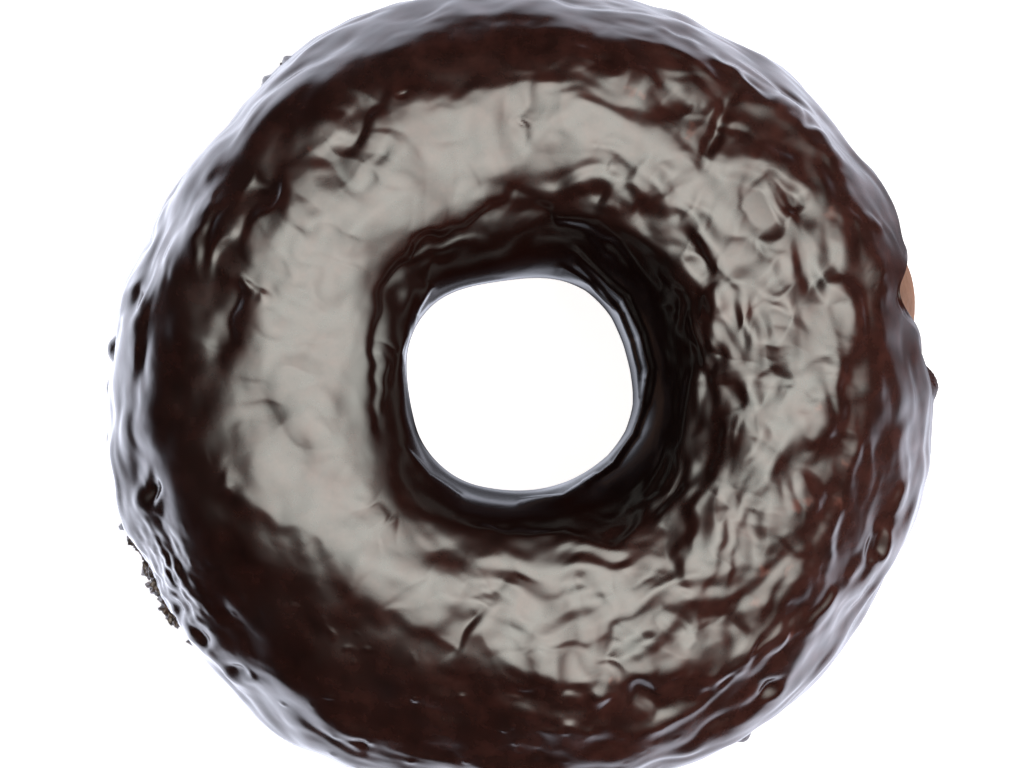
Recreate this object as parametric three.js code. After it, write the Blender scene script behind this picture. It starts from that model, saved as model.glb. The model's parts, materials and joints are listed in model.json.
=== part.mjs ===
// Chocolate glazed ring doughnut: a fried ring of dough in a thin coat of set dark chocolate.
// Millimetres, +Z up. It stands on its bare underside, and the origin is the middle of that
// underside's footprint. Azimuth runs anticlockwise from +X, seen from above.
import * as THREE from 'three';
import { ParametricGeometry } from 'three/addons/geometries/ParametricGeometry.js';
import { mergeVertices } from 'three/addons/utils/BufferGeometryUtils.js';

// Driving dimensions of the glazed ring
const OUTLINE_RADIUS = 40.75; // middle of the ring to its widest point
const HOLE_RADIUS = 11.2; // narrowest part of the hole
const CROWN_RADIUS = 23.6; // circle on which the top is highest
const CROWN_HEIGHT = 27.8; // underside to that top
const WAIST_HEIGHT = 12; // underside to the widest point
const BELLY_DEPTH = 14.8; // how far under the waist the belly would reach if it weren't flat
const HOLE_SHIFT = new THREE.Vector2(-0.15, 1.15); // the hole was stamped a little off centre

// How square each quarter of the section is: 2 is an ellipse, more is boxier
const OUTER_TOP_FULLNESS = 2;
const HOLE_TOP_FULLNESS = 3.2;
const BELLY_FULLNESS = 2.4;

// The coat of chocolate
const GLAZE_THICKNESS = 1.2;
const TOUCH_GAP = 0.3; // clearance kept between the coat and the dough
const GLAZE_OUTER_EDGE = -30; // degrees round the section at which the coat ends outside
const GLAZE_HOLE_EDGE = 210; // and in the hole, both on average

// The bare patch, over which the coat's edge is drawn up the side
const PATCH_AZIMUTH = 15;
const PATCH_HALF_WIDTH = 14;
const PATCH_EDGE_RISE = 55; // degrees round the section
const PATCH_THINNING = 0.6; // share of the coat's thickness lost at that edge

// Mesh fineness
const AZIMUTH_STEPS = 72;
const SECTION_STEP = 15; // degrees; both pieces share it, which keeps the gap between them even

// Gentle waves round the ring: how many, how high in millimetres, and where the first one peaks
const OUTLINE_WAVES = [
  { count: 2, height: 0.3, peak: 38 },
  { count: 3, height: 0.15, peak: 85 },
  { count: 5, height: 0.2, peak: 37 },
];
const HOLE_WAVES = [
  { count: 2, height: 0.4, peak: 0 },
  { count: 4, height: 0.28, peak: 54 },
  { count: 5, height: 0.18, peak: 63 },
];
const CROWN_WAVES = [
  { count: 1, height: 0.3, peak: 200 },
  { count: 3, height: 0.35, peak: 20 },
];
// and of the coat's lower edge, in degrees round the section
const EDGE_WAVES = [
  { count: 7, height: 3, peak: 12 },
  { count: 11, height: 2, peak: 5 },
];

const { degToRad, lerp } = THREE.MathUtils;
const DOUGH_STEPS = 360 / SECTION_STEP;
const SKIN_STEPS = (GLAZE_HOLE_EDGE - GLAZE_OUTER_EDGE) / SECTION_STEP;
const LOOP_STEPS = 2 * SKIN_STEPS + 2; // outside, inside and the two cut edges

function waves(list, azimuth) {
  return list.reduce(
    (sum, { count, height, peak }) => sum + height * Math.cos(count * (azimuth - degToRad(peak))),
    0,
  );
}

// 1 in the middle of the bare patch, falling smoothly to 0 at its sides
function patch(azimuth) {
  const away = Math.abs(azimuth - degToRad(PATCH_AZIMUTH)) / degToRad(PATCH_HALF_WIDTH);
  return away < 1 ? Math.cos((away * Math.PI) / 2) ** 2 : 0;
}

// How far out a superellipse of unit reach and rise lies in the direction of a cosine and a sine
function fullReach(across, up, fullness) {
  return (Math.abs(across) ** fullness + Math.abs(up) ** fullness) ** (-1 / fullness);
}

// A point at a depth under the glazed surface. The turn goes round the section in degrees:
// 0 at the waist outside, 90 at the crown, 180 at the waist in the hole, 270 underneath.
function ringPoint(azimuth, turn, depth, target) {
  const outline = OUTLINE_RADIUS + waves(OUTLINE_WAVES, azimuth);
  const direction = new THREE.Vector2(Math.cos(azimuth), Math.sin(azimuth));
  const hole = HOLE_RADIUS + waves(HOLE_WAVES, azimuth) + HOLE_SHIFT.dot(direction);
  const crown = CROWN_RADIUS + HOLE_SHIFT.dot(direction) / 2;
  const top = CROWN_HEIGHT + waves(CROWN_WAVES, azimuth) - WAIST_HEIGHT;

  const across = Math.cos(degToRad(turn));
  const up = Math.sin(degToRad(turn));
  const reach = across > 0 ? outline - crown : crown - hole;
  const topFullness = across > 0 ? OUTER_TOP_FULLNESS : HOLE_TOP_FULLNESS;
  const rise = up > 0 ? top : BELLY_DEPTH;
  const scale = fullReach(across, up, up > 0 ? topFullness : BELLY_FULLNESS);

  const radius = crown + (reach - depth) * across * scale;
  const height = WAIST_HEIGHT + (rise - depth) * up * scale;
  return target.set(radius * direction.x, radius * direction.y, Math.max(height, 0));
}

// The bare dough, flat underneath where it lay on the fryer's screen
function doughSurface(u, v, target) {
  const azimuth = u * 2 * Math.PI;
  const turn = v * 360;
  return ringPoint(azimuth, turn, GLAZE_THICKNESS + TOUCH_GAP, target);
}

// The coat: up its outside from edge to edge, then back along its inside, a closed loop
function glazeSurface(u, v, target) {
  const azimuth = u * 2 * Math.PI;
  const ragged = waves(EDGE_WAVES, azimuth);
  const outerLift = ragged + PATCH_EDGE_RISE * patch(azimuth);
  const step = Math.round(v * LOOP_STEPS) % LOOP_STEPS;
  const inside = step > SKIN_STEPS;
  const along = (inside ? LOOP_STEPS - 1 - step : step) / SKIN_STEPS;
  // the edges are ragged, and the lift fades out up the side
  const turn =
    lerp(GLAZE_OUTER_EDGE, GLAZE_HOLE_EDGE, along) + outerLift * (1 - along) ** 3 - ragged * along ** 6;
  const thickness = GLAZE_THICKNESS * (1 - PATCH_THINNING * patch(azimuth) * (1 - along));
  return ringPoint(azimuth, turn, inside ? thickness : 0, target);
}

// A surface that closes on itself both ways, with its shared corners merged
function closedRing(surface, sectionSteps) {
  const geometry = new ParametricGeometry(surface, AZIMUTH_STEPS, sectionSteps);
  geometry.deleteAttribute('normal');
  geometry.deleteAttribute('uv');
  const merged = mergeVertices(geometry, 1e-3);
  merged.computeVertexNormals();
  return merged;
}

function makeDough() {
  const crust = new THREE.MeshStandardMaterial({ color: 0xb5763f, roughness: 0.85, metalness: 0 });
  const mesh = new THREE.Mesh(closedRing(doughSurface, DOUGH_STEPS), crust);
  mesh.name = 'dough_ring';
  return mesh;
}

function makeGlaze() {
  const chocolate = new THREE.MeshStandardMaterial({ color: 0x2e1a14, roughness: 0.25, metalness: 0 });
  const mesh = new THREE.Mesh(closedRing(glazeSurface, LOOP_STEPS), chocolate);
  mesh.name = 'chocolate_glaze';
  return mesh;
}

const group = new THREE.Group();
group.add(makeDough(), makeGlaze());

export default group;
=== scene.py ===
"""A chocolate glazed ring doughnut: fried dough, a wrinkled coat of dark chocolate, and a stage."""

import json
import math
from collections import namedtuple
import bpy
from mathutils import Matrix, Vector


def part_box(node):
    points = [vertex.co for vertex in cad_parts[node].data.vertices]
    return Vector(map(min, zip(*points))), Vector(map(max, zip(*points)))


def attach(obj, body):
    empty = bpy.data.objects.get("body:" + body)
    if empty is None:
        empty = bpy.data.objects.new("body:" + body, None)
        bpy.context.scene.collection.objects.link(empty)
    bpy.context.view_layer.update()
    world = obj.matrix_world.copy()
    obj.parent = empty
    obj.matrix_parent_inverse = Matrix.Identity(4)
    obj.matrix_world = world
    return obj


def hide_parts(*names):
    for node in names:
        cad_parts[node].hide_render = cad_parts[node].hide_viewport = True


bl_info = {
    "name": "Chocolate Glazed Ring Doughnut",
    "version": (1, 0, 0),
    "blender": (4, 5, 0),
    "location": "View3D > Sidebar > Doughnut",
    "description": "Fries a dough ring, coats it in wrinkled dark chocolate and lights it",
    "category": "Mesh",
}

import bmesh
import bpy
import numpy as np
from bpy.props import FloatProperty, FloatVectorProperty, IntProperty, PointerProperty
from mathutils import Vector

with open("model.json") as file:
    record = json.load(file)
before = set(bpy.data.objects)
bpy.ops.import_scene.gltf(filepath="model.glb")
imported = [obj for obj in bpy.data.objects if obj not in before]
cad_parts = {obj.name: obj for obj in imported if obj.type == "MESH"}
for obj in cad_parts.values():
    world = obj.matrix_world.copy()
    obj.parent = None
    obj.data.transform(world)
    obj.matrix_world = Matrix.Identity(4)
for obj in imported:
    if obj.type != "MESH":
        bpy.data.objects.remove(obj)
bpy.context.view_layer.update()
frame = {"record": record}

MM = 0.001  # every size below is in millimetres until a mesh is made

# The ring's driving sizes, from the frame
COAT_LOW, COAT_HIGH = (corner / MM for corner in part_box("chocolate_glaze"))
HOLE_LOW, HOLE_HIGH = (
    Vector(corner) / MM for corner in frame["record"]["physics"]["openings"][0]["box_m"]
)
OUTLINE_RADIUS = (COAT_HIGH.x - COAT_LOW.x + COAT_HIGH.y - COAT_LOW.y) / 4
HOLE_CENTRE = (HOLE_LOW + HOLE_HIGH) / 2
HOLE_RADIUS = (HOLE_HIGH - HOLE_LOW).to_2d().length / 2
CROWN_TOP = COAT_HIGH.z
CROWN_RADIUS = 0.578 * OUTLINE_RADIUS
WAIST_HEIGHT = 0.424 * CROWN_TOP
BELLY_PER_WAIST = 1.233  # depth of the unflattened belly under the waist, in waist heights
BELLY_FULLNESS = 2.4
CROWN_SLACK = 0.5  # how far the crown's mean height is under its highest point

# The ring's uneven form, every 30 degrees round it from azimuth 15
CROWN_SHIFTS = (-0.1, 2.5, 1.9, -0.2, 0.3, -1.7, -1.7, -3.3, -3.1, -0.7, 0.6, -0.1)
OUTER_FULLNESS = (2.65, 2.05, 2.15, 2.15, 2.2, 2.0, 1.92, 1.75, 1.65, 2.0, 1.8, 1.72)
HOLE_FULLNESS = (1.9, 1.85, 1.75, 1.8, 1.85, 2.3, 2.8, 2.1, 2.2, 2.5, 1.75, 1.9)
NECK_HEIGHTS = (12, 12, 14, 18, 18, 23, 20.5, 14, 13, 13, 13, 12)
# and in waves, each of a count, a height and the azimuth of a peak
OUTLINE_WAVES = ((2, 0.3, 38), (3, 0.15, 85), (5, 0.2, 37))
HOLE_WAVES = ((2, 0.4, 0), (4, 0.28, 54), (5, 0.18, 63))
CROWN_WAVES = ((1, 0.3, 200), (3, 0.35, 20))
# A dent in the outline and a bulge into the hole: depth, azimuth and half width
OUTLINE_DENT = (0.6, 10, 10)
HOLE_BULGE = (0.3, 190, 60)


# --- settings


class DoughSettings(bpy.types.PropertyGroup):
    """The fried dough."""

    crust_colour: FloatVectorProperty(
        name="Crust",
        description="Colour of the fried crust",
        subtype="COLOR",
        size=3,
        min=0,
        max=1,
        default=(0.27, 0.126, 0.076),
    )
    crumb_colour: FloatVectorProperty(
        name="Crumb",
        description="Colour of the paler blotches, where the crumb shows",
        subtype="COLOR",
        size=3,
        min=0,
        max=1,
        default=(0.55, 0.33, 0.18),
    )
    pore_depth: FloatProperty(
        name="Pore depth",
        description="How deep the open pores of the underside are",
        unit="LENGTH",
        default=0.35 * MM,
    )


class CoatSettings(bpy.types.PropertyGroup):
    """The set chocolate coat."""

    thickness: FloatProperty(
        name="Thickness",
        description="Thickness of the coat",
        unit="LENGTH",
        default=1.2 * MM,
    )
    crumple_height: FloatProperty(
        name="Crumple height",
        description="Height of the wrinkles in the coat's skin",
        unit="LENGTH",
        default=0.42 * MM,
    )
    colour: FloatVectorProperty(
        name="Chocolate",
        description="Colour of the dark chocolate",
        subtype="COLOR",
        size=3,
        min=0,
        max=1,
        default=(0.034, 0.0102, 0.0074),
    )
    roughness: FloatProperty(
        name="Roughness",
        description="Roughness of the chocolate's skin",
        subtype="FACTOR",
        min=0,
        max=1,
        default=0.2,
    )


class CrumbSettings(bpy.types.PropertyGroup):
    """The crumbs stuck in the coat's foot."""

    smallest: FloatProperty(
        name="Smallest",
        description="Radius of the smallest crumbs",
        unit="LENGTH",
        default=0.3 * MM,
    )
    largest: FloatProperty(
        name="Largest",
        description="Radius of the largest crumbs",
        unit="LENGTH",
        default=0.75 * MM,
    )


class StageSettings(bpy.types.PropertyGroup):
    """The camera, floor and lights."""

    camera_height: FloatProperty(
        name="Camera height",
        description="Height of the camera over the doughnut's waist",
        unit="LENGTH",
        default=0.5,
    )
    softbox_glow: FloatProperty(
        name="Softbox glow",
        description="Brightness of the overhead softbox as the glaze mirrors it",
        min=0,
        default=10.5,
    )
    floor_glow: FloatProperty(
        name="Floor glow",
        description="Brightness of the floor as the glaze mirrors it",
        min=0,
        default=3.6,
    )


class DoughnutSettings(bpy.types.PropertyGroup):
    """Everything that a user would change."""

    seed: IntProperty(name="Seed", description="Picks the pattern of lumps and wrinkles", default=7)
    dough: PointerProperty(name="Dough", description="The fried dough", type=DoughSettings)
    coat: PointerProperty(name="Coat", description="The chocolate coat", type=CoatSettings)
    crumbs: PointerProperty(name="Crumbs", description="Crumbs in the coat's foot", type=CrumbSettings)
    stage: PointerProperty(name="Stage", description="Camera, floor and lights", type=StageSettings)


# --- shapes


def smoothstep(low, high, value):
    """0 below low, 1 above high and a smooth ramp between; low may be the larger."""
    t = np.clip((value - low) / (high - low), 0, 1)
    return t * t * (3 - 2 * t)


def around(azimuth, middle, half_width):
    """1 at the middle azimuth, falling smoothly to 0 at half_width to either side, all in degrees."""
    away = np.abs((azimuth - middle + 180) % 360 - 180) / half_width
    return np.where(away < 1, np.cos(np.minimum(away, 1) * math.pi / 2) ** 2, 0)


def hump(azimuth, height, middle, half_width):
    """A smooth hump of a height, round the ring from a middle azimuth."""
    return height * around(azimuth, middle, half_width)


def round_ring(azimuth, values):
    """A smooth value round the ring through the given ones, which are evenly spaced from azimuth 15."""
    step = 360 / len(values)
    return sum(value * around(azimuth, 15 + i * step, step) for i, value in enumerate(values))


def waves(azimuth, parts):
    """Waves round the ring, each of a count, a height and the azimuth of a peak."""
    return sum(height * np.cos(count * np.radians(azimuth - peak)) for count, height, peak in parts)


class Lumps:
    """Smooth random lumps in space about one unit across, from -1 to 1, the same for the same seed."""

    def __init__(self, seed):
        random = np.random.default_rng(seed)
        self.order = random.permutation(256)
        slopes = random.normal(size=(256, 3))
        self.slopes = slopes / np.linalg.norm(slopes, axis=1)[:, None]

    def __call__(self, points):
        cell = np.floor(points).astype(int)
        inside = points - cell
        ease = inside**3 * (inside * (inside * 6 - 15) + 10)
        total = np.zeros(len(points))
        for corner in np.ndindex(2, 2, 2):
            pick = 0
            for axis in range(3):
                pick = self.order[(pick + cell[:, axis] + corner[axis]) % 256]
            slope = np.einsum("ij,ij->i", self.slopes[pick], inside - corner)
            share = np.prod(np.where(corner, ease, 1 - ease), axis=1)
            total += share * slope
        return total * 1.5


# Lumps of a surface: which seed, how large and how high
Swell = namedtuple("Swell", "seed size height")


def lumpy(points, seed, swell):
    """Height of a surface's lumps at a grid of points, [row, column]."""
    lumps = Lumps(seed + swell.seed)(points.reshape(-1, 3) / swell.size)
    return lumps.reshape(points.shape[:2]) * swell.height


def section_point(azimuth, turn, depth):
    """Points under the coat's smooth surface. The turn goes round the section in degrees: 0 at the waist
    outside, 90 at the crown, 180 at the neck in the hole, 270 underneath."""
    a, t = np.radians(azimuth), np.radians(turn)
    across, up = np.cos(t), np.sin(t)
    outside, above = across > 0, up > 0

    outline = OUTLINE_RADIUS + waves(azimuth, OUTLINE_WAVES) - hump(azimuth, *OUTLINE_DENT)
    shift = HOLE_CENTRE.x * np.cos(a) + HOLE_CENTRE.y * np.sin(a)
    hole = HOLE_RADIUS + shift + waves(azimuth, HOLE_WAVES) - hump(azimuth, *HOLE_BULGE)
    crown = CROWN_RADIUS + round_ring(azimuth, CROWN_SHIFTS)
    waist = np.where(outside, WAIST_HEIGHT, round_ring(azimuth, NECK_HEIGHTS))
    top = CROWN_TOP - CROWN_SLACK + waves(azimuth, CROWN_WAVES) - waist

    reach = np.where(outside, outline - crown, crown - hole)
    rise = np.where(above, top, waist * BELLY_PER_WAIST)
    outer_fullness = round_ring(azimuth, OUTER_FULLNESS)
    shoulder = np.where(outside, outer_fullness, round_ring(azimuth, HOLE_FULLNESS))
    fullness = np.where(above, shoulder, BELLY_FULLNESS)
    scale = (np.abs(across) ** fullness + np.abs(up) ** fullness) ** (-1 / fullness)

    radius = crown + (reach - depth) * across * scale
    height = np.maximum(waist + (rise - depth) * up * scale, 0)
    return np.stack([radius * np.cos(a), radius * np.sin(a), height], axis=-1)


TYPICAL_AZIMUTH = 100.0  # where the section is measured for even steps
MEASURING_STEPS = 2000


def even_turns(first, last, count, weight):
    """Turns from first to last in even steps along the section, finer where weight is larger."""
    turn = np.linspace(first, last, MEASURING_STEPS)
    points = section_point(np.full_like(turn, TYPICAL_AZIMUTH), turn, 0)
    middle = (turn[1:] + turn[:-1]) / 2
    length = np.linalg.norm(np.diff(points, axis=0), axis=1) * weight(middle)
    travelled = np.concatenate([[0], np.cumsum(length)])
    return np.interp(np.linspace(0, travelled[-1], count), travelled, turn)


def grid_normals(points):
    """Outward normals of a grid of points, [row, column], whose columns close round the ring."""
    along = np.gradient(points, axis=0)
    ringwise = np.roll(points, -1, axis=1) - np.roll(points, 1, axis=1)
    normals = np.cross(ringwise, along)
    return normals / np.maximum(np.linalg.norm(normals, axis=2), 1e-9)[:, :, None]


def ring_mesh(name, points):
    """A mesh from a grid of points, [row, column], that closes round the ring and round the section."""
    rows, columns = points.shape[:2]
    r, c = np.meshgrid(np.arange(rows), np.arange(columns), indexing="ij")
    next_row, next_column = (r + 1) % rows, (c + 1) % columns
    corners = ((r, c), (r, next_column), (next_row, next_column), (next_row, c))
    quads = np.stack([row * columns + column for row, column in corners], axis=-1).reshape(-1, 4)
    mesh = bpy.data.meshes.new(name)
    mesh.vertices.add(rows * columns)
    mesh.vertices.foreach_set("co", (points * MM).astype(np.float32).ravel())
    mesh.loops.add(quads.size)
    mesh.loops.foreach_set("vertex_index", quads.astype(np.int32).ravel())
    mesh.polygons.add(len(quads))
    mesh.polygons.foreach_set("loop_start", np.arange(0, quads.size, 4, dtype=np.int32))
    mesh.update(calc_edges=True)
    mesh.validate()
    mesh.shade_smooth()
    return mesh


def add_object(name, data):
    """A new object in the scene."""
    thing = bpy.data.objects.new(name, data)
    bpy.context.scene.collection.objects.link(thing)
    return thing


def add_piece(name, mesh, material, node):
    """A piece that rides on the ring's only body and stands for a CAD node, if one is given."""
    piece = add_object(name, mesh)
    mesh.materials.append(material)
    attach(piece, "root")
    if node:
        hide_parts(node)
    return piece


# --- materials


def new_material(name):
    """A node material with a plain Principled shader. Returns it, its node tree and the shader."""
    material = bpy.data.materials.new(name)
    material.use_nodes = True
    tree = material.node_tree
    return material, tree, tree.nodes["Principled BSDF"]


def texture(tree, kind, scale, **values):
    """A procedural texture in object space, with its inputs by name and its scale in features a metre."""
    node = tree.nodes.new("ShaderNodeTex" + kind)
    place = tree.nodes.get("Place") or tree.nodes.new("ShaderNodeTexCoord")
    place.name = "Place"
    tree.links.new(place.outputs["Object"], node.inputs["Vector"])
    node.inputs["Scale"].default_value = scale
    for name, value in values.items():
        node.inputs[name].default_value = value
    return node


def ramp(tree, source, stops):
    """A colour ramp over a source socket. The stops are (position, colour)."""
    node = tree.nodes.new("ShaderNodeValToRGB")
    tree.links.new(source, node.inputs["Fac"])
    elements = node.color_ramp.elements
    while len(elements) < len(stops):
        elements.new(0.5)
    for element, (position, colour) in zip(elements, stops):
        element.position = position
        element.color = (*colour, 1)
    return node


def bump(tree, source, distance, strength=1.0, below=None):
    """A bump over a source socket, on top of another bump if one is given."""
    node = tree.nodes.new("ShaderNodeBump")
    node.inputs["Distance"].default_value = distance
    node.inputs["Strength"].default_value = strength
    tree.links.new(source, node.inputs["Height"])
    if below:
        tree.links.new(below.outputs["Normal"], node.inputs["Normal"])
    return node


def shade(colour, factor):
    """A colour made lighter or darker."""
    return tuple(min(c * factor, 1) for c in colour)


# The coat's mesh holds where it is so thin that crumb shows, and where its colour is darkened as painted
# shade, in the hole and on the left side
THIN = "thin"
PAINTED_SHADE_ATTRIBUTE = "painted_shade"
CRUMB_SHOWING = (0.11, 0.035, 0.024)
PAINTED_SHADE_COLOUR = (0.0105, 0.0026, 0.0017)


def mixed(tree, attribute, source, colour):
    """The source's colour turning to another by a share that the mesh holds."""
    share = tree.nodes.new("ShaderNodeAttribute")
    share.attribute_name = attribute
    mix = tree.nodes.new("ShaderNodeMix")
    mix.data_type = "RGBA"
    tree.links.new(share.outputs["Fac"], mix.inputs["Factor"])
    tree.links.new(source, mix.inputs["A"])
    mix.inputs["B"].default_value = (*colour, 1)
    return mix.outputs["Result"]


def chocolate_material(coat):
    """Dark chocolate: a glossy skin, mottled brown, duller in patches, darker in the hole and on the left
    side as painted shade, and redder where it is thin.
    """
    material, tree, shader = new_material("dark_chocolate")
    colour = coat.colour
    mottle = texture(tree, "Noise", 420, Detail=5.0, Roughness=0.6)
    stops = [(0.3, shade(colour, 0.55)), (0.5, colour), (0.72, shade(colour, 1.7))]
    tone = ramp(tree, mottle.outputs["Fac"], stops)
    # Painted shade: the chocolate's colour is darkened in the hole and on the left side
    shaded_tone = mixed(tree, PAINTED_SHADE_ATTRIBUTE, tone.outputs["Color"], PAINTED_SHADE_COLOUR)
    speckled = mixed(tree, THIN, shaded_tone, CRUMB_SHOWING)
    tree.links.new(speckled, shader.inputs["Base Color"])
    haze = texture(tree, "Noise", 160, Detail=3.0)
    dull = tree.nodes.new("ShaderNodeMapRange")
    dull.inputs["To Min"].default_value = coat.roughness * 0.75
    dull.inputs["To Max"].default_value = coat.roughness * 1.5
    tree.links.new(haze.outputs["Fac"], dull.inputs["Value"])
    tree.links.new(dull.outputs["Result"], shader.inputs["Roughness"])
    grain = texture(tree, "Noise", 900, Detail=2.0)
    fine = bump(tree, grain.outputs["Fac"], 0.012 * MM)
    tree.links.new(fine.outputs["Normal"], shader.inputs["Normal"])
    shader.inputs["IOR"].default_value = 1.5
    return material


def dough_material(dough):
    """Fried crust: reddish brown, blotched darker and with paler crumb, and finely pored."""
    material, tree, shader = new_material("fried_dough")
    crust, crumb = dough.crust_colour, dough.crumb_colour
    blotches = texture(tree, "Noise", 130, Detail=6.0, Roughness=0.65)
    stops = [(0.28, shade(crust, 0.6)), (0.5, crust), (0.75, crumb)]
    tone = ramp(tree, blotches.outputs["Fac"], stops)
    tree.links.new(tone.outputs["Color"], shader.inputs["Base Color"])
    shader.inputs["Roughness"].default_value = 0.62
    pores = texture(tree, "Voronoi", 900)
    grain = texture(tree, "Noise", 2200, Detail=4.0)
    coarse = bump(tree, pores.outputs["Distance"], 0.12 * MM, 0.8)
    fine = bump(tree, grain.outputs["Fac"], 0.08 * MM, 1.0, coarse)
    tree.links.new(fine.outputs["Normal"], shader.inputs["Normal"])
    return material


def crumb_material(dough):
    """Crumbs: the crust's brown, darkened by the chocolate on them."""
    material, tree, shader = new_material("browned_crumbs")
    crust = dough.crust_colour
    mottle = texture(tree, "Noise", 900, Detail=4.0)
    stops = [(0.35, shade(crust, 0.08)), (0.55, shade(crust, 0.25)), (0.75, shade(crust, 0.6))]
    tone = ramp(tree, mottle.outputs["Fac"], stops)
    tree.links.new(tone.outputs["Color"], shader.inputs["Base Color"])
    shader.inputs["Roughness"].default_value = 0.42
    grain = texture(tree, "Noise", 3000, Detail=3.0)
    fine = bump(tree, grain.outputs["Fac"], 0.06 * MM)
    tree.links.new(fine.outputs["Normal"], shader.inputs["Normal"])
    return material


# --- the dough

DOUGH_COLUMNS = 420
DOUGH_ROWS = 150
COAT_GAP = 0.3
BARE_PATCH = 15  # azimuth at which the coat stops short and the dough shows
# The dough swells out there: height, azimuth and half width; middle and half width in the section
PATCH_SWELL = (1.35, BARE_PATCH, 13)
PATCH_SWELL_TURN = (8, 48)
# The underside's open pores, fine grain and broad billows
PORES = Swell(20, 1.7, 1)
PORE_LEVEL = 0.15  # how high a lump must be to leave a pore
PORE_STEEPNESS = 2.2
DEEPEST_PORE = 0.6
GRAIN = Swell(21, 0.9, 0.07)
BILLOWS = Swell(22, 9, 0.25)
BELOW_SINK = 0.15
SIDE_SHARE = 0.25  # how much of all that the sides have
HIGHEST_CRUST = 0.12  # keeps the crust clear of the coat


def make_dough(settings):
    """The fried ring: flat and pored underneath, and swelling out at the bare patch."""
    seed, dough = settings.seed, settings.dough
    coat_depth = settings.coat.thickness / MM + COAT_GAP

    def finer_below(turn):
        return 1 + 1.5 * smoothstep(190, 215, turn % 360) * smoothstep(350, 330, turn % 360)

    turns = even_turns(0, 360, DOUGH_ROWS + 1, finer_below)[:-1]
    azimuths = np.arange(DOUGH_COLUMNS) * 360 / DOUGH_COLUMNS
    turn, azimuth = np.meshgrid(turns, azimuths, indexing="ij")
    points = section_point(azimuth, turn, coat_depth)
    normals = grid_normals(points)
    swell = hump(azimuth, *PATCH_SWELL) * around(turn, *PATCH_SWELL_TURN)
    below = smoothstep(205, 235, turn) * smoothstep(335, 315, turn)
    pores = np.maximum(lumpy(points, seed, PORES) - PORE_LEVEL, 0) * PORE_STEEPNESS
    pores = np.minimum(pores * dough.pore_depth / MM, DEEPEST_PORE)
    billows = (lumpy(points, seed, BILLOWS) - BELOW_SINK) * below
    crust = lumpy(points, seed, GRAIN) - pores + billows
    crust = np.minimum(crust * (below + SIDE_SHARE), HIGHEST_CRUST)
    points = points + normals * (swell + crust)[:, :, None]
    points[:, :, 2] = np.maximum(points[:, :, 2], 0)
    mesh = ring_mesh("dough_ring_mesh", points)
    return add_piece("fried_dough_ring", mesh, dough_material(dough), "dough_ring")


class DOUGHNUT_OT_fry_dough(bpy.types.Operator):
    """Fry the ring of dough"""

    bl_idname = "doughnut.fry_dough"
    bl_label = "Fry Dough"

    def execute(self, context):
        piece = make_dough(context.scene.doughnut)
        return {"FINISHED"}


# --- the coat

COAT_COLUMNS = 760
COAT_ROWS = 275
LINING_ROWS = 20
OUTER_EDGE = -30  # degrees round the section at which the coat ends outside
HOLE_EDGE = 210  # and in the hole
EDGE_ROUNDING = 0.9

# Wrinkles of the top, seen from above: height (a crease is below 0), half width, and the points it runs
# through. A wrinkle is steep on its left as it runs, and slopes away gently on its right.
TOP_WRINKLES = (
    (-0.28, 1.1, (1.3, 31.1), (0.2, 28), (-0.3, 24.7)),
    (-0.6, 1.5, (-14.2, 28.8), (-15.8, 26), (-17.6, 23.2)),
    (0.35, 0.9, (-17.2, 27.4), (-19, 24.5)),
    (-0.5, 1, (-26.6, 21.2), (-23.6, 19.6)),
    (-0.62, 1.7, (-27.6, 11.8), (-28.2, 8.5), (-29.1, 4.5)),
    (0.55, 0.8, (-30, 19.5), (-32, 12.5)),
    (0.35, 0.7, (-27.6, 17.6), (-30.2, 12.4)),
    (0.25, 0.5, (-26.8, 11.4), (-26.2, 10.4)),
    (0.2, 0.5, (-25.6, 10.2), (-24.6, 9.8)),
    (-0.2, 1.5, (-14, 21.4), (-17, 19.4)),
    (-0.25, 2, (-16, 15.6), (-17, 12.6)),
    (-0.2, 1.8, (-19.4, 12.6), (-20.8, 9.8)),
    (-0.15, 2.2, (-22.5, -2.6), (-20.5, -5.8)),
    (-0.2, 1.4, (-12.8, 24.6), (-14.8, 21.6)),
    (0.35, 1.1, (-29, -7.4), (-27.6, -9.2)),
    (-0.3, 1.6, (-13.6, -11.6), (-9.6, -14.2), (-5, -16)),
    (0.25, 1, (-14.4, -10.3), (-13.4, -12.3), (-11.8, -12.3)),
    (0.3, 0.6, (-5, -12.4), (-1, -13.7), (3, -13.3), (7.8, -13.9)),
    (-0.5, 1, (-3.8, -20.1), (-6.6, -24.3)),
    (0.7, 1.9, (3.2, -24.4), (3.6, -28.4)),
    (0.32, 1.8, (-6.5, -23.3), (-12.5, -20.5), (-16.4, -18.1), (-19.8, -13.6), (-25.9, -10.1),
     (-28.7, -8.2)),
    (0.28, 1.6, (-27.3, 13.5), (-26.2, 15.2), (-22.8, 20.2), (-19.5, 23.4)),
    (0.3, 1.7, (-17, 25.2), (-11.8, 27.4), (-6.9, 28.9), (-0.1, 29.6), (4.7, 29.4), (8.4, 28.2),
     (12.2, 26.4)),
)
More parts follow.
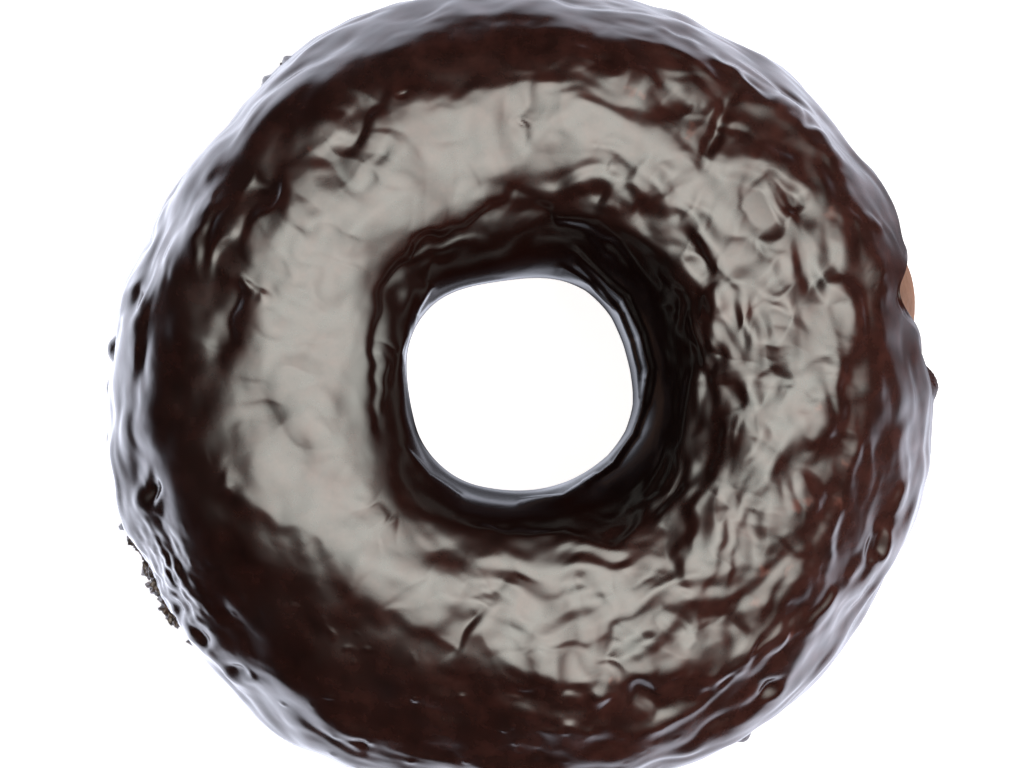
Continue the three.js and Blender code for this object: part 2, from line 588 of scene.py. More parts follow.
TOP_RIGHT_WRINKLES = (
    (-0.4, 0.6, (20.6, 28.6), (17.6, 22.8)),
    (0.3, 0.6, (19.2, 28.6), (16.2, 22.6)),
    (-0.75, 1.3, (23.4, 21.6), (25.4, 20.2), (27.4, 18.5)),
    (-0.35, 1.2, (22.4, 18.2), (25.6, 16.3)),
    (-0.55, 1.4, (22.6, 9.4), (26, 7.2)),
    (-0.5, 1.3, (19, 12.2), (15.6, 14.4)),
    (-0.5, 1.5, (19, 12.4), (17.4, 10), (16.4, 7.4)),
    (-0.28, 1.1, (29.7, 13.5), (27, 9.3)),
    (0.45, 0.7, (13.8, 35.6), (19.7, 32), (24, 28.7), (26.2, 28)),
    (0.45, 0.7, (26.4, 27.8), (27.2, 25.8), (29.8, 24.1), (31, 21.8)),
    (-0.5, 1.3, (13, 30.6), (16.6, 28.2)),
    (0.3, 1, (10.6, 31.2), (14.4, 29.6)),
    (-0.4, 1.2, (17.8, 27.2), (20.4, 25.6), (23.6, 24.6)),
    (0.4, 1.3, (21.4, 25.6), (24.6, 23.2), (27.8, 20)),
    (-0.3, 1.6, (8, 25.4), (12, 22.4)),
    (0.35, 1.1, (31.7, 4.4), (29.4, -0.3)),
    (-0.5, 1.5, (23.6, 2.8), (26.4, 0.4)),
    (-0.3, 1.5, (19.2, 2.4), (20.6, -1.6)),
    (0.3, 0.9, (34.6, 17.6), (34.2, 16)),
    (0.3, 0.8, (34.8, 12.4), (34.9, 10.8)),
    (-0.25, 1.2, (21.6, 14.8), (24.4, 12.6)),
)
LOW_RIGHT_WRINKLES = (
    (0.65, 1.3, (15, -18.8), (17, -13.2), (17.8, -9.4)),
    (0.24, 0.7, (19.8, -10.2), (19.2, -13.9), (17.6, -18.2)),
    (0.28, 0.8, (21.2, -9.6), (20.6, -13.9), (19.2, -19)),
    (-0.3, 1.6, (13.2, -12.4), (14.2, -17)),
    (-0.55, 1.3, (17.2, -21.2), (19.6, -21.9), (22, -23.3)),
    (0.35, 0.65, (24.3, -21.6), (22.5, -24.2), (20.6, -26.9), (18, -28.6)),
    (0.25, 0.6, (26.4, -22), (24, -25)),
    (0.4, 1, (30.2, -11.8), (29.4, -15), (27.6, -18.6)),
    (0.5, 1, (26.6, -23.4), (30, -20.2), (33.2, -17.4), (36.5, -12.8)),
    (0.4, 1, (36.6, -12), (37.7, -8.8), (37.8, -5.2)),
    (0.28, 0.6, (2.1, -32.6), (4.6, -32.2), (7.3, -33.3)),
    (0.3, 0.8, (9.1, -29.1), (12.8, -31.8), (16.8, -30.4)),
    (-0.25, 1.2, (10.6, -28), (13.4, -29.4)),
    (-0.32, 1.4, (8.4, -25.4), (9.8, -22.2)),
    (-0.3, 1.1, (13.8, -20.4), (16.2, -22.6)),
    (0.3, 1.1, (10.4, -23.4), (14.6, -24.6), (18.6, -23.6)),
    (-0.25, 1.2, (-0.6, -16.8), (-3, -18.4)),
)
# Round the hole: the brink of the funnel at the upper left, with a low lip inside it
HOLE_WRINKLES = (
    (-0.5, 1, (-13.8, -3), (-14.1, 5.5), (-12.9, 10.5), (-10.2, 14.4), (-4.1, 16.6), (-0.5, 19.4)),
    (-0.4, 1.1, (-0.5, 19.4), (3.8, 16.6), (7.8, 13.4)),
    (0.35, 1.6, (3, 19.8), (8, 21.2), (12.5, 18.8), (16, 14.2)),
    (0.8, 1.2, (-9.4, 11.2), (-11.2, 8), (-12, 4.4)),
    (0.16, 0.35, (-11.4, 13.3), (-8, 14.5), (-4.7, 15.3)),
    (0.16, 0.4, (-13.3, 3.6), (-13.4, -1.5)),
)
# Folds drawn round the neck of the hole
HOLE_FOLDS = (
    (0.38, 0.34, (5.2, 13.9), (8.1, 11.4), (10.2, 9.7), (11.9, 6), (12.7, 2.7), (12.3, -0.6)),
    (0.38, 0.34, (12.7, 1.5), (12.3, -0.6), (11.2, -3.9), (9.2, -6.8), (6.5, -8.7)),
    (0.34, 0.3, (5.6, 12.7), (8.1, 10.5), (9.9, 8.1), (11, 5.2), (11.6, 2.7), (11.8, 0)),
    (0.28, 0.28, (4, 12.6), (6.9, 11.2), (9, 9)),
    (0.3, 0.3, (-11.2, -5.2), (-9.2, -7.8), (-6.2, -9.6)),
    (0.3, 0.28, (0, -10.2), (4, -9.9), (7.2, -8.1)),
)

# Pits burst in the skin: how far they are drawn out round the ring, their rim's height in depths of the
# pit, and the rim's middle, radius and width in radii of the pit
PIT_STRETCH = 1.8
RIM_HEIGHT = 0.35
RIM_MIDDLE = (0.5, 0.4)
RIM_RADIUS = 1.3
RIM_WIDTH = 0.7
# Each pit's depth, radius, x and y
PITS = (
    (0.18, 0.3, 0.6, 26.3),
    (0.15, 0.3, -11.4, 29),
    (0.45, 0.7, 24, -28.3),
    (0.4, 0.6, 34.4, -14.9),
    (0.5, 0.7, -31, -23.4),
    (0.5, 0.6, -28, -27),
    (0.3, 0.5, -15.6, -34),
    (0.4, 0.8, -37.2, 9.6),
    (0.5, 0.7, -36.2, -8.9),
    (0.6, 0.9, -33.7, -20.4),
)

# Specks where the coat is thin and browned crumb shows through: x, y and radius
THIN_SPECKS = (
    (16.4, 25.7, 0.5),
    (15.7, 25, 0.35),
    (10.5, 29.5, 0.45),
    (11.4, 29, 0.35),
    (29.8, 17.7, 0.5),
    (26.6, -10.5, 0.6),
    (27.7, -10, 0.4),
    (30.7, -10.4, 0.4),
    (31.3, -6.6, 0.35),
    (23.3, -16.8, 0.5),
    (25.8, -16.9, 0.4),
    (22.6, -20.1, 0.5),
    (26.1, -23.2, 0.4),
    (28.6, -1.4, 0.35),
    (-20.4, 24, 0.35),
    (8.8, -27.6, 0.35),
)

# Knobs and drips on the side: azimuth, turn round the section, height, half length round the ring and
# half width
KNOBS = (
    (173.5, -6, 1, 1.3, 0.8),
    (198.2, -4, 1.3, 0.6, 0.6),
    (303, -10, 0.9, 1, 0.6),
    (157.5, 2, -0.5, 0.9, 3),
    (2, -5, 0.75, 1.6, 0.5),
    (125, 2, 0.5, 0.5, 0.5),
    (129, 0, 0.4, 0.5, 0.5),
    (186, -14, 0.9, 1.6, 0.7),
    (179, -12, 0.8, 1.4, 0.7),
    (26, 0, 0.45, 0.5, 0.5),
)

# How far a wrinkle spreads to its steep left and its gentle right, in half widths
STEEP_SPREAD = 0.75
GENTLE_SPREAD = 2.2
WRINKLE_MARGIN = 6  # in half widths, past which it has no height
WRINKLE_END = 0.25  # share of its height that a wrinkle keeps at its ends


def wrinkle_relief(places, wrinkles):
    """Relief of given wrinkles at places seen from above, in rows of x and y."""
    relief = np.zeros(len(places))
    for height, half_width, *path in wrinkles:
        path = np.array(path, dtype=float)
        margin = WRINKLE_MARGIN * half_width
        low, high = path.min(axis=0) - margin, path.max(axis=0) + margin
        near = np.all((places > low) & (places < high), axis=1)
        here = places[near]
        nearest = np.full(len(here), 1e9)
        side = np.zeros(len(here))
        progress = np.zeros(len(here))
        steps = len(path) - 1
        for i, (start, end) in enumerate(zip(path, path[1:])):
            run = end - start
            share = np.clip((here - start) @ run / (run @ run), 0, 1)
            away = here - start - share[:, None] * run
            distance = np.linalg.norm(away, axis=1)
            closer = distance < nearest
            nearest = np.where(closer, distance, nearest)
            leftward = (run[0] * away[:, 1] - run[1] * away[:, 0]) / np.linalg.norm(run)
            side = np.where(closer, leftward / np.maximum(distance, 1e-6), side)
            progress = np.where(closer, (i + share) / steps, progress)
        spread = (GENTLE_SPREAD + STEEP_SPREAD) / 2 - (GENTLE_SPREAD - STEEP_SPREAD) / 2 * side
        width = spread * half_width
        swelling = np.sin(np.pi * np.clip(progress, 0.02, 0.98)) ** 0.6
        taper = WRINKLE_END + (1 - WRINKLE_END) * swelling
        relief[near] += height * taper * np.exp(-((nearest / width) ** 2))
    return relief


def pit_relief(places, pits):
    """Relief of burst pits with raised rims, seen from above."""
    relief = np.zeros(len(places))
    for depth, radius, *centre in pits:
        outward = np.array(centre) / np.linalg.norm(centre)
        off = places - centre
        away = np.stack([off @ outward, off @ (-outward[1], outward[0]) / PIT_STRETCH], axis=1) / radius
        hollow = np.exp(-(away**2).sum(axis=1))
        from_rim = np.linalg.norm(away - RIM_MIDDLE, axis=1) - RIM_RADIUS
        relief += depth * (RIM_HEIGHT * np.exp(-((from_rim / RIM_WIDTH) ** 2)) - hollow)
    return relief


def speck_share(places, specks):
    """How far browned crumb shows through the coat, from 0 to 1, seen from above."""
    share = np.zeros(len(places))
    for *centre, radius in specks:
        away = np.linalg.norm(places - centre, axis=1) / radius
        share = np.maximum(share, np.exp(-(away**4)))
    return share


def knob_relief(points, knobs):
    """Relief of knobs and drips on the side."""
    relief = np.zeros(len(points))
    for azimuth, turn, height, half_length, half_width in knobs:
        off = points - section_point(azimuth, turn, 0)
        a = math.radians(azimuth)
        along = off @ (-math.sin(a), math.cos(a), 0)
        across = np.sqrt(np.maximum((off**2).sum(axis=1) - along**2, 0))
        away = np.hypot(along / half_length, across / half_width)
        relief += height * np.exp(-(away**3))
    return relief


# Short random wrinkles: how many, between which azimuths and radii, the height for each mm of half width,
# the half width, and how far, in degrees, they stray from running round the ring
Scatter = namedtuple("Scatter", "count azimuths radii heights half_widths stray")
RIGHT_SCATTER = Scatter(90, (-75, 75), (18, 33), (0.16, 0.3), (0.6, 1.7), 30)
LEFT_SCATTER = Scatter(60, (75, 285), (17, 36), (0.05, 0.13), (1.2, 2.4), 40)
SCATTER_LENGTHS = (2.0, 5.5)
SCATTER_BEND = 0.14  # in radians, to either side of the middle
SCATTER_SHARE = 0.8


def scattered_wrinkles(random, scatter):
    """Short random wrinkles that mostly run round the ring."""
    wrinkles = []
    for _ in range(scatter.count):
        azimuth = math.radians(random.uniform(*scatter.azimuths))
        radius = random.uniform(*scatter.radii)
        heading = azimuth + math.pi / 2 + math.radians(random.normal(0, scatter.stray))
        length = random.uniform(*SCATTER_LENGTHS)
        bend = random.normal(0, SCATTER_BEND)
        middle = np.array([radius * math.cos(azimuth), radius * math.sin(azimuth)])
        before = np.array([math.cos(heading - bend), math.sin(heading - bend)]) * length / 2
        after = np.array([math.cos(heading + bend), math.sin(heading + bend)]) * length / 2
        half_width = random.uniform(*scatter.half_widths)
        height = random.choice([-1, 1]) * random.uniform(*scatter.heights) * half_width
        wrinkles.append((height, half_width, middle - before, middle, middle + after))
    return wrinkles


EDGE_WAVES = ((7, 3, 12), (11, 2, 5))
EDGE_RAGS = (Swell(0, 1 / 4.5, 4), Swell(1, 1 / 16, 2.2))  # sized for a ring of radius 1


def coat_edge_lift(azimuth, seed):
    """How far the coat's lower edge is drawn up the side, in degrees round the section."""
    ring = np.stack([np.cos(np.radians(azimuth)), np.sin(np.radians(azimuth)), 0 * azimuth], axis=-1)
    return waves(azimuth, EDGE_WAVES) + sum(lumpy(ring, seed, rag) for rag in EDGE_RAGS)


def crumple(points, seed):
    """Crumpled skin: narrow crests that wander, with smooth hollows between."""
    bend = np.stack([Lumps(seed + i)(points / 5.0) for i in range(3)], axis=-1)
    warped = points + 1.6 * bend
    broad = 1 - 2.2 * np.sqrt(Lumps(seed + 3)(warped / 4.2) ** 2 + 0.012)
    narrow = 1 - 2.2 * np.sqrt(Lumps(seed + 4)(warped / 2.3) ** 2 + 0.03)
    return 0.65 * broad + 0.35 * narrow * smoothstep(-0.4, 0.6, broad)


SECTION_RADIUS = 15  # roughly, for the width of lumps drawn round the ring


def drawn_round(azimuth, turn, fold):
    """Places for lumps that are drawn out round the ring."""
    a = np.radians(azimuth).ravel()
    girth = CROWN_RADIUS / fold.length
    section = np.radians(turn).ravel() * SECTION_RADIUS / fold.width
    return np.stack([girth * np.cos(a), girth * np.sin(a), section], axis=-1)


def wandered(flat, seed, distance, size):
    """Places seen from above, in rows of x and y, moved aside by up to a distance in bends of a size."""
    aside = np.stack([Lumps(seed + i)(flat / size) for i in range(2)], axis=-1)
    return flat[:, :2] + distance * aside


SWELLS = (Swell(0, 12, 0.6), Swell(1, 6, 0.3), Swell(2, 3.6, 0.16))
SKIN = Swell(16, 1.5, 0.022)
CRUMBLE = Swell(25, 0.9, 0.2)
PATCHES = Swell(30, 9, 1)
PIMPLES = Swell(28, 1.1, 0.5)
PIMPLE_LEVEL = 0.225  # how high a lump must be to make a pimple

# Lumps drawn out round the ring, some of which wander across it with other, rounder lumps
Fold = namedtuple("Fold", "seed length width height wander wander_seed wander_size", defaults=(0, 0, 1))
FOLDS = Fold(13, 7, 2.6, 0.42, 1.2, 12, 7)
FINE_FOLDS = Fold(27, 3.6, 1.35, 0.17, 1.5, 26, 4)
STREAKS = (
    Fold(18, 8, 6, 0.7),
    Fold(14, 5, 2.6, 0.36, 0.8, 29, 5),
    Fold(15, 2.5, 1.3, 0.1, 1.6, 29, 5),
)
LEDGES = Fold(24, 3, 1.5, 0.38)

# Where each kind is, as ramps from 0 to 1 over the turn round the section
TOP_OUTSIDE = (30, 55)
TOP_INSIDE = (150, 112)
SIDE = (50, 25)
CALM = (108, 140)
CALM_SHARE = 0.8  # how much calmer the coat is in the hole
CRUMBLY_SIDE = (48, 25)
PIMPLY_FOOT = (8, 20)
PIMPLY_SHOULDER = (75, 60)
WRINKLES_OUTSIDE = (-8, 8)
WRINKLES_INSIDE = (176, 166)
NECK = (120, 135)
# and as humps round the ring: height, azimuth and half width
CRUMBLY = (1, 207, 15)
PIMPLY = (1, 245, 75)
TUCK = (0.9, 8, 9)  # the coat is drawn in under the bare patch
RIGHT_MIDDLE = -8  # azimuth at the middle of the more wrinkled half
WRINKLE_WANDER = (0.7, 2.4)  # distance and size


def coat_relief(points, azimuth, turn, seed, crumple_height):
    """Height of the coat's lumps, wrinkles and streaks over its smooth surface."""
    flat = points.reshape(-1, 3)

    def lumps(swell):
        return lumpy(points, seed, swell)

    def drawn(fold):
        places = drawn_round(azimuth, turn, fold)
        if fold.wander:
            places[:, 2] += fold.wander * Lumps(seed + fold.wander_seed)(flat / fold.wander_size)
        return Lumps(seed + fold.seed)(places).reshape(azimuth.shape) * fold.height

    top = smoothstep(*TOP_OUTSIDE, turn) * smoothstep(*TOP_INSIDE, turn)
    calm = 1 - CALM_SHARE * smoothstep(*CALM, turn)
    side = smoothstep(*SIDE, turn)
    right = smoothstep(-0.45, 0.45, np.cos(np.radians(azimuth - RIGHT_MIDDLE)))
    patchy = smoothstep(-0.5, 0.5, lumps(PATCHES))

    relief = (sum(lumps(swell) for swell in SWELLS) + lumps(SKIN)) * calm
    crumpled = crumple(flat, seed + 3).reshape(azimuth.shape) * crumple_height
    crumpled = crumpled * (0.03 + 0.17 * right * patchy)
    folds = drawn(FOLDS) * (0.15 + 0.85 * right) + drawn(FINE_FOLDS) * (0.1 + 0.9 * right) * patchy
    relief += (crumpled + folds) * top
    relief += sum(drawn(streak) for streak in STREAKS) * side
    crumbly = hump(azimuth, *CRUMBLY) * smoothstep(*CRUMBLY_SIDE, turn)
    relief += (np.abs(drawn(LEDGES)) + lumps(CRUMBLE)) * crumbly
    pimply = hump(azimuth, *PIMPLY) * smoothstep(*PIMPLY_FOOT, turn) * smoothstep(*PIMPLY_SHOULDER, turn)
    relief += np.maximum(lumps(PIMPLES) - PIMPLE_LEVEL, 0) * pimply

    random = np.random.default_rng(seed)
    scattered = scattered_wrinkles(random, RIGHT_SCATTER) + scattered_wrinkles(random, LEFT_SCATTER)
    places = wandered(flat, seed + 20, *WRINKLE_WANDER)
    by_hand = TOP_WRINKLES + TOP_RIGHT_WRINKLES + LOW_RIGHT_WRINKLES + HOLE_WRINKLES
    placed = wrinkle_relief(places, by_hand)
    placed += wrinkle_relief(places, scattered) * SCATTER_SHARE
    placed += pit_relief(places, PITS)
    placed = placed.reshape(azimuth.shape)
    relief += placed * smoothstep(*WRINKLES_OUTSIDE, turn) * smoothstep(*WRINKLES_INSIDE, turn)
    drawn_neck = wrinkle_relief(flat[:, :2], HOLE_FOLDS).reshape(azimuth.shape)
    relief += drawn_neck * smoothstep(*NECK, turn)
    relief -= hump(azimuth, *TUCK) * side
    return relief + knob_relief(flat, KNOBS).reshape(azimuth.shape)


# How far the coat's edge is drawn up over the bare patch, in degrees round the section: a narrow notch in
# a broad one
PATCH_NOTCHES = ((50, BARE_PATCH, 13), (14, BARE_PATCH, 34))
HOLE_RAGGEDNESS = 0.5  # how ragged the edge in the hole is, beside the outer one
SECTION_GIRTH = 62.0  # round the coat from edge to edge, roughly
DEEPEST_CREASE = 0.9  # less than the coat's thickness
EDGE_CALM = 2.5  # how far from its edge the coat stays smooth, in roundings of the edge
SPECK_WANDER = (0.6, 0.8)
# Painted shade: where the chocolate's colour is darkened, in the hole and on the left side
PAINTED_SHADE_IN_HOLE = (100, 135)  # a ramp over the turn
PAINTED_SHADE_LEFT = (0.45, 205, 100)  # a hump round the ring
PAINTED_SHADE_LEFT_TURNS = (95, 60)


def make_coat(settings):
    """The chocolate coat: a closed shell over the top, with a rounded, ragged lower edge."""
    seed, coat = settings.seed, settings.coat
    thickness = coat.thickness / MM

    def finer_on_top(turn):
        top = smoothstep(5, 25, turn) * smoothstep(170, 150, turn)
        neck = smoothstep(150, 165, turn) * smoothstep(200, 190, turn)
        return 1 + 0.6 * top + 1.2 * neck

    outside = even_turns(OUTER_EDGE, HOLE_EDGE, COAT_ROWS, finer_on_top)
    inside = even_turns(OUTER_EDGE, HOLE_EDGE, LINING_ROWS, np.ones_like)[::-1]
    azimuths = np.arange(COAT_COLUMNS) * 360 / COAT_COLUMNS
    turn, azimuth = np.meshgrid(np.concatenate([outside, inside]), azimuths, indexing="ij")
    along = (turn - OUTER_EDGE) / (HOLE_EDGE - OUTER_EDGE)
    ragged = coat_edge_lift(azimuth, seed + 40)
    lift = ragged + sum(hump(azimuth, *notch) for notch in PATCH_NOTCHES)
    turn = turn + lift * (1 - along) ** 3 - HOLE_RAGGEDNESS * ragged * along**6

    # Depth under the smooth surface: 0 outside, the coat's thickness inside, halfway at the rounded edges
    from_edge = np.minimum(along, 1 - along) * SECTION_GIRTH / EDGE_ROUNDING
    roundness = 1 - np.sqrt(np.clip(1 - np.clip(1 - from_edge, 0, 1) ** 2, 0, 1))
    depth = thickness / 2 * roundness
    depth[COAT_ROWS:] = thickness - depth[COAT_ROWS:]
    points = section_point(azimuth, turn, depth)
    outer = points[:COAT_ROWS]
    normals = grid_normals(outer)
    relief = coat_relief(outer, azimuth[:COAT_ROWS], turn[:COAT_ROWS], seed, coat.crumple_height / MM)
    fade = smoothstep(0, EDGE_CALM, from_edge[:COAT_ROWS])
    points[:COAT_ROWS] = outer + normals * (np.maximum(relief, -DEEPEST_CREASE) * fade)[:, :, None]
    mesh = ring_mesh("chocolate_coat_mesh", points)
    thin = np.zeros(points.shape[:2])
    shown = speck_share(wandered(outer.reshape(-1, 3), seed + 50, *SPECK_WANDER), THIN_SPECKS)
    thin[:COAT_ROWS] = shown.reshape(outer.shape[:2])
    # Painted shade over the hole and the left side
    painted_shade = smoothstep(*PAINTED_SHADE_IN_HOLE, turn)
    painted_shade = painted_shade + hump(azimuth, *PAINTED_SHADE_LEFT) * smoothstep(*PAINTED_SHADE_LEFT_TURNS, turn)
    mesh.attributes.new(THIN, "FLOAT", "POINT").data.foreach_set("value", thin.ravel())
    mesh.attributes.new(PAINTED_SHADE_ATTRIBUTE, "FLOAT", "POINT").data.foreach_set("value", painted_shade.ravel())
    return add_piece("chocolate_coat", mesh, chocolate_material(coat), "chocolate_glaze")


class DOUGHNUT_OT_pour_coat(bpy.types.Operator):
    """Coat the ring in chocolate"""

    bl_idname = "doughnut.pour_coat"
    bl_label = "Pour Coat"

    def execute(self, context):
        piece = make_coat(context.scene.doughnut)
        return {"FINISHED"}


# --- the crumbs

# Crumbs stuck along the coat's foot: how many, and between which azimuths and turns round the section
CRUMB_CLUSTERS = (
    (70, (200, 217), (-14, 3)),
    (24, (199, 218), (-27, -14)),
    (8, (172, 190), (-28, -10)),
    (6, (295, 306), (-28, -12)),
    (5, (120, 131), (-20, 2)),
    (4, (22, 29), (-12, 6)),
    (14, (0, 360), (-30, -12)),
)
CRUMB_SINK = (-0.1, 0.45)  # how deep a crumb's middle is under the coat's smooth surface
SMALL_CRUMB_BIAS = 1.6  # over 1, most crumbs are small


def make_crumbs(settings):
    """Little lumps of browned dough, half sunk in the foot of the coat."""
    random = np.random.default_rng(settings.seed + 60)
    lumps = Lumps(settings.seed + 61)
    smallest, largest = settings.crumbs.smallest / MM, settings.crumbs.largest / MM
    bm = bmesh.new()
    for count, azimuths, turns in CRUMB_CLUSTERS:
        for _ in range(count):
            azimuth, turn = random.uniform(*azimuths), random.uniform(*turns)
            place = section_point(azimuth, turn, random.uniform(*CRUMB_SINK))
            size = smallest + (largest - smallest) * random.uniform() ** SMALL_CRUMB_BIAS
            stretch = random.uniform(0.7, 1.3, 3) * size
            ball = bmesh.ops.create_icosphere(bm, subdivisions=3, radius=1)["verts"]
            unit = np.array([vertex.co for vertex in ball])
            swell = 1 + 0.75 * lumps(unit * 1.5 + random.uniform(0, 90, 3)) + 0.3 * lumps(unit * 3.5)
            for vertex, position in zip(ball, place + unit * swell[:, None] * stretch):
                vertex.co = position * MM
    mesh = bpy.data.meshes.new("edge_crumbs_mesh")
    bm.to_mesh(mesh)
    bm.free()
    mesh.shade_smooth()
    return add_piece("edge_crumbs", mesh, crumb_material(settings.dough), None)


class DOUGHNUT_OT_drop_crumbs(bpy.types.Operator):
    """Stick browned crumbs along the foot of the coat"""

    bl_idname = "doughnut.drop_crumbs"
    bl_label = "Drop Crumbs"

    def execute(self, context):
        piece = make_crumbs(context.scene.doughnut)
        return {"FINISHED"}


# --- the stage

SENSOR_WIDTH = 36.0
VIEW_WIDTH = 101.9  # width of the view at the waist's height, in millimetres
VIEW_CENTRE = Vector((-0.95, 1.14))  # the camera hangs nearly over the middle of the hole

# The lights, in metres and watts
KEY_PLACE = (0.7, -0.05, 0.68)
KEY_SIZE = 0.9
KEY_POWER = 10
WORLD_LIGHT = 0.12
SOFTBOX_HEIGHT = 0.9
SOFTBOX_COLOUR = (0.925, 0.97, 0.9)
FLOOR_GLOW_COLOUR = (0.82, 0.86, 1.0)
CARD_CORNERS = 96
# How far the softbox reaches and how soft its edge is from 0 to 1, every 30 degrees from azimuth 15
SOFTBOX_REACH = (0.68, 1, 0.56, 0.5, 0.76, 0.56, 0.62, 0.54, 0.46, 0.62, 0.7, 0.84)
SOFTBOX_SOFTNESS = (1, 1, 0.4, 0.2, 0.4, 0.4, 0.4, 0.2, 0.2, 0.5, 0.9, 0.85)
# The softbox's glow at shares of its reach, with a crisp edge and with a soft one
SOFTBOX_FADE = (
    (0.1, 1.1, 1.1), (0.25, 1.05, 1), (0.4, 0.98, 0.86),
    (0.55, 0.92, 0.73), (0.7, 0.82, 0.6), (0.85, 0.66, 0.48),
    (1, 0.38, 0.36), (1.13, 0.2, 0.28), (1.3, 0.08, 0.19),
    (1.6, 0.01, 0.1), (2, 0, 0.04), (2.6, 0, 0),
)
# The floor's glow by radius: round the ring, and under the hole
FLOOR_FADE = (
    (0.03, 0), (0.036, 0.1), (0.042, 0.45), (0.05, 0.85),
    (0.07, 0.95), (0.1, 0.75), (0.15, 0.35), (0.23, 0),
)
HOLE_SPOT_FADE = ((0.003, 0.12), (0.0045, 0.5), (0.0065, 0.85), (0.0085, 0.45), (0.011, 0))
# How brightly the floor glows, every 30 degrees from azimuth 15: round the ring and under the hole
FLOOR_GLOWS = (0.95, 0.95, 0.78, 0.82, 1.05, 1.5, 1.85, 1.35, 1.2, 1.05, 1.1, 1.2)
HOLE_SPOT_GLOWS = (0.45, 0.7, 0.85, 0.9, 0.9, 0.15, 0, 0.3, 0.3, 0.3, 0.55, 0.5)
PATCH_SHADE = (0.93, BARE_PATCH, 34)  # the floor's glow is dimmed there: how much, azimuth and half width
HOLE_SPOT_CENTRE = (-0.0015, -0.001)
SPOT_LIFT = 0.1 * MM  # keeps the spot's card clear of the floor's


def glow_card(name, rings, centre, glow, colour):
    """A glowing card that only mirrored rays see. Each ring is its radius and the glow there."""
    azimuths = np.arange(CARD_CORNERS) * 360 / CARD_CORNERS
    corners, fades = [centre], [np.mean(rings[0][1])]
    for radii, glows in rings:
        for azimuth, radius in zip(azimuths, np.broadcast_to(radii, azimuths.shape)):
            a = math.radians(azimuth)
            x, y = radius * math.cos(a), radius * math.sin(a)
            corners.append((centre[0] + x, centre[1] + y, centre[2]))
        fades.extend(np.broadcast_to(glows, azimuths.shape))
    count = len(azimuths)
    faces = [(0, 1 + i, 1 + (i + 1) % count) for i in range(count)]
    for ring in range(len(rings) - 1):
        first = 1 + ring * count
        for i in range(count):
            j = (i + 1) % count
            faces.append((first + i, first + count + i, first + count + j, first + j))
    mesh = bpy.data.meshes.new(name)
    mesh.from_pydata(corners, [], faces)
    mesh.attributes.new("fade", "FLOAT", "POINT").data.foreach_set("value", fades)

    card = add_object(name, mesh)
    material, tree, _ = new_material(name)
    nodes, links = tree.nodes, tree.links
    nodes.clear()
    fade = nodes.new("ShaderNodeAttribute")
    fade.attribute_name = "fade"
    strength = nodes.new("ShaderNodeMath")
    strength.operation = "MULTIPLY"
    strength.inputs[1].default_value = glow
    links.new(fade.outputs["Fac"], strength.inputs[0])
    light = nodes.new("ShaderNodeEmission")
    light.inputs["Color"].default_value = (*colour, 1)
    links.new(strength.outputs["Value"], light.inputs["Strength"])
    links.new(light.outputs["Emission"], nodes.new("ShaderNodeOutputMaterial").inputs["Surface"])
    mesh.materials.append(material)
    for kind in ("camera", "diffuse", "transmission", "volume_scatter", "shadow"):
        setattr(card, "visible_" + kind, False)


def make_floor():
    """A plain pale floor that glows a little, so that it stays white under the ring."""
    half = 4.0
    corners = [(-half, -half, 0), (half, -half, 0), (half, half, 0), (-half, half, 0)]
    mesh = bpy.data.meshes.new("floor")
    mesh.from_pydata(corners, [], [(0, 1, 2, 3)])
    floor = add_object("floor", mesh)
    material, _, shader = new_material("pale_floor")
    shader.inputs["Base Color"].default_value = (0.82, 0.82, 0.83, 1)
    shader.inputs["Roughness"].default_value = 0.9
    shader.inputs["Emission Color"].default_value = (1, 1, 1, 1)
    shader.inputs["Emission Strength"].default_value = 0.9
    mesh.materials.append(material)
    floor.visible_glossy = False


def make_lights(stage):
    """A softbox and the lit floor as the glaze mirrors them, and a soft key for everything else."""
    azimuths = np.arange(CARD_CORNERS) * 360 / CARD_CORNERS
    reach = round_ring(azimuths, SOFTBOX_REACH)
    softness = round_ring(azimuths, SOFTBOX_SOFTNESS)
    softbox = [(reach * share, crisp + (soft - crisp) * softness) for share, crisp, soft in SOFTBOX_FADE]
    glow_card("softbox", softbox, (0, 0, SOFTBOX_HEIGHT), stage.softbox_glow, SOFTBOX_COLOUR)
    round_glow = round_ring(azimuths, FLOOR_GLOWS) - hump(azimuths, *PATCH_SHADE)
    spot_glow = round_ring(azimuths, HOLE_SPOT_GLOWS)
    floor = [(radius, fade * round_glow) for radius, fade in FLOOR_FADE]
    spot = [(radius, fade * spot_glow) for radius, fade in HOLE_SPOT_FADE]
    spot_centre = (*HOLE_SPOT_CENTRE, SPOT_LIFT)
    glow_card("lit_floor", floor, (0, 0, 0), stage.floor_glow, FLOOR_GLOW_COLOUR)
    glow_card("lit_floor_in_hole", spot, spot_centre, stage.floor_glow, FLOOR_GLOW_COLOUR)
    key = bpy.data.lights.new("key", "AREA")
    key.shape = "SQUARE"
    key.size = KEY_SIZE
    key.energy = KEY_POWER
    lamp = add_object("key", key)
    lamp.location = KEY_PLACE
    lamp.rotation_euler = Vector(KEY_PLACE).to_track_quat("Z", "Y").to_euler()
    lamp.visible_glossy = False
    lamp.visible_camera = False


def make_world():
    """A little soft white light from all round, unseen in the glaze."""
    world = bpy.data.worlds.new("studio")
    bpy.context.scene.world = world
    world.use_nodes = True
    background = world.node_tree.nodes["Background"]
    background.inputs["Color"].default_value = (1, 1, 1, 1)
    background.inputs["Strength"].default_value = WORLD_LIGHT
    world.cycles_visibility.glossy = False


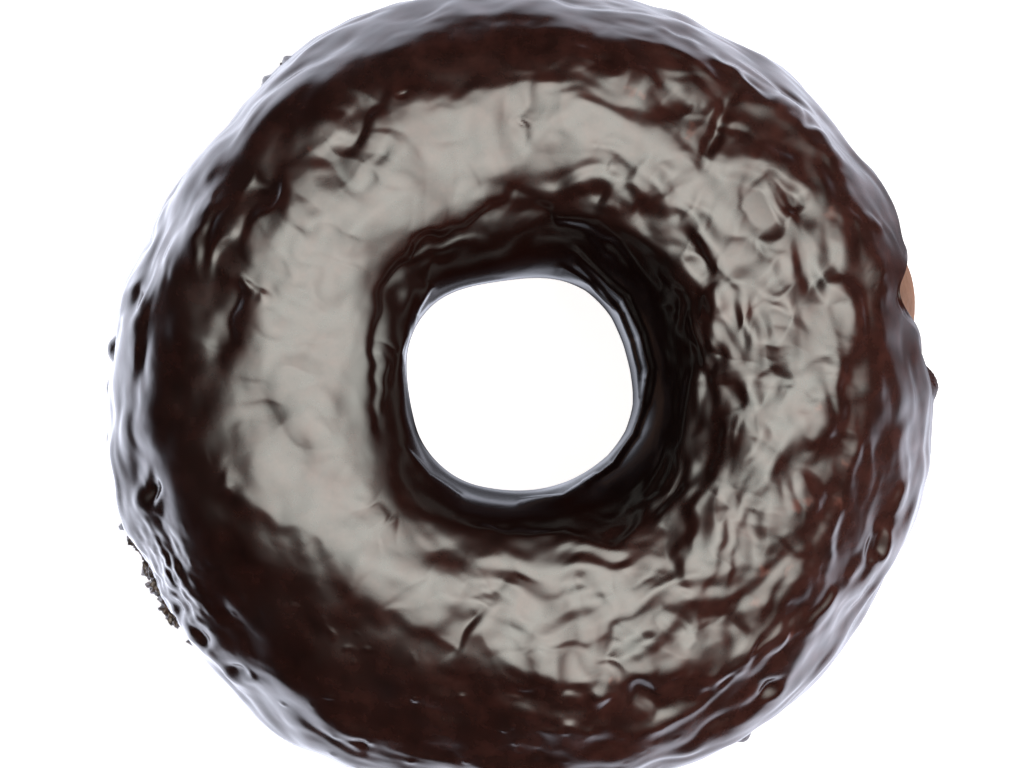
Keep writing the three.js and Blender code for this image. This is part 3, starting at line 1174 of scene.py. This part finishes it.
def make_camera(stage):
    """The camera looks straight down, nearly over the middle of the hole."""
    data = bpy.data.cameras.new("camera")
    data.sensor_width = SENSOR_WIDTH
    data.lens = SENSOR_WIDTH * stage.camera_height / (VIEW_WIDTH * MM)
    camera = add_object("camera", data)
    camera.location = (*(VIEW_CENTRE * MM), WAIST_HEIGHT * MM + stage.camera_height)
    bpy.context.scene.camera = camera


class DOUGHNUT_OT_set_stage(bpy.types.Operator):
    """Set up the camera, floor and lights"""

    bl_idname = "doughnut.set_stage"
    bl_label = "Set Stage"

    def execute(self, context):
        stage = context.scene.doughnut.stage
        make_camera(stage)
        make_floor()
        make_lights(stage)
        make_world()
        context.scene.view_settings.view_transform = "Standard"
        return {"FINISHED"}


# --- the add-on


class DOUGHNUT_PT_bench(bpy.types.Panel):
    """The steps, in order, with what they use."""

    bl_label = "Ring Doughnut"
    bl_idname = "DOUGHNUT_PT_bench"
    bl_space_type = "VIEW_3D"
    bl_region_type = "UI"
    bl_category = "Doughnut"

    def draw(self, context):
        settings = context.scene.doughnut
        layout = self.layout
        layout.prop(settings, "seed")
        for title, group, step in (
            ("Stage", settings.stage, "doughnut.set_stage"),
            ("Dough", settings.dough, "doughnut.fry_dough"),
            ("Coat", settings.coat, "doughnut.pour_coat"),
            ("Crumbs", settings.crumbs, "doughnut.drop_crumbs"),
        ):
            box = layout.box()
            box.label(text=title)
            for name in group.__annotations__:
                box.prop(group, name)
            box.operator(step)


CLASSES = (
    DoughSettings,
    CoatSettings,
    CrumbSettings,
    StageSettings,
    DoughnutSettings,
    DOUGHNUT_OT_set_stage,
    DOUGHNUT_OT_fry_dough,
    DOUGHNUT_OT_pour_coat,
    DOUGHNUT_OT_drop_crumbs,
    DOUGHNUT_PT_bench,
)


def register():
    for cls in CLASSES:
        bpy.utils.register_class(cls)
    bpy.types.Scene.doughnut = PointerProperty(type=DoughnutSettings)


def unregister():
    del bpy.types.Scene.doughnut
    for cls in reversed(CLASSES):
        bpy.utils.unregister_class(cls)


def main():
    register()
    bpy.ops.doughnut.set_stage()
    bpy.ops.doughnut.fry_dough()
    bpy.ops.doughnut.pour_coat()
    bpy.ops.doughnut.drop_crumbs()


if __name__ == "__main__":
    main()
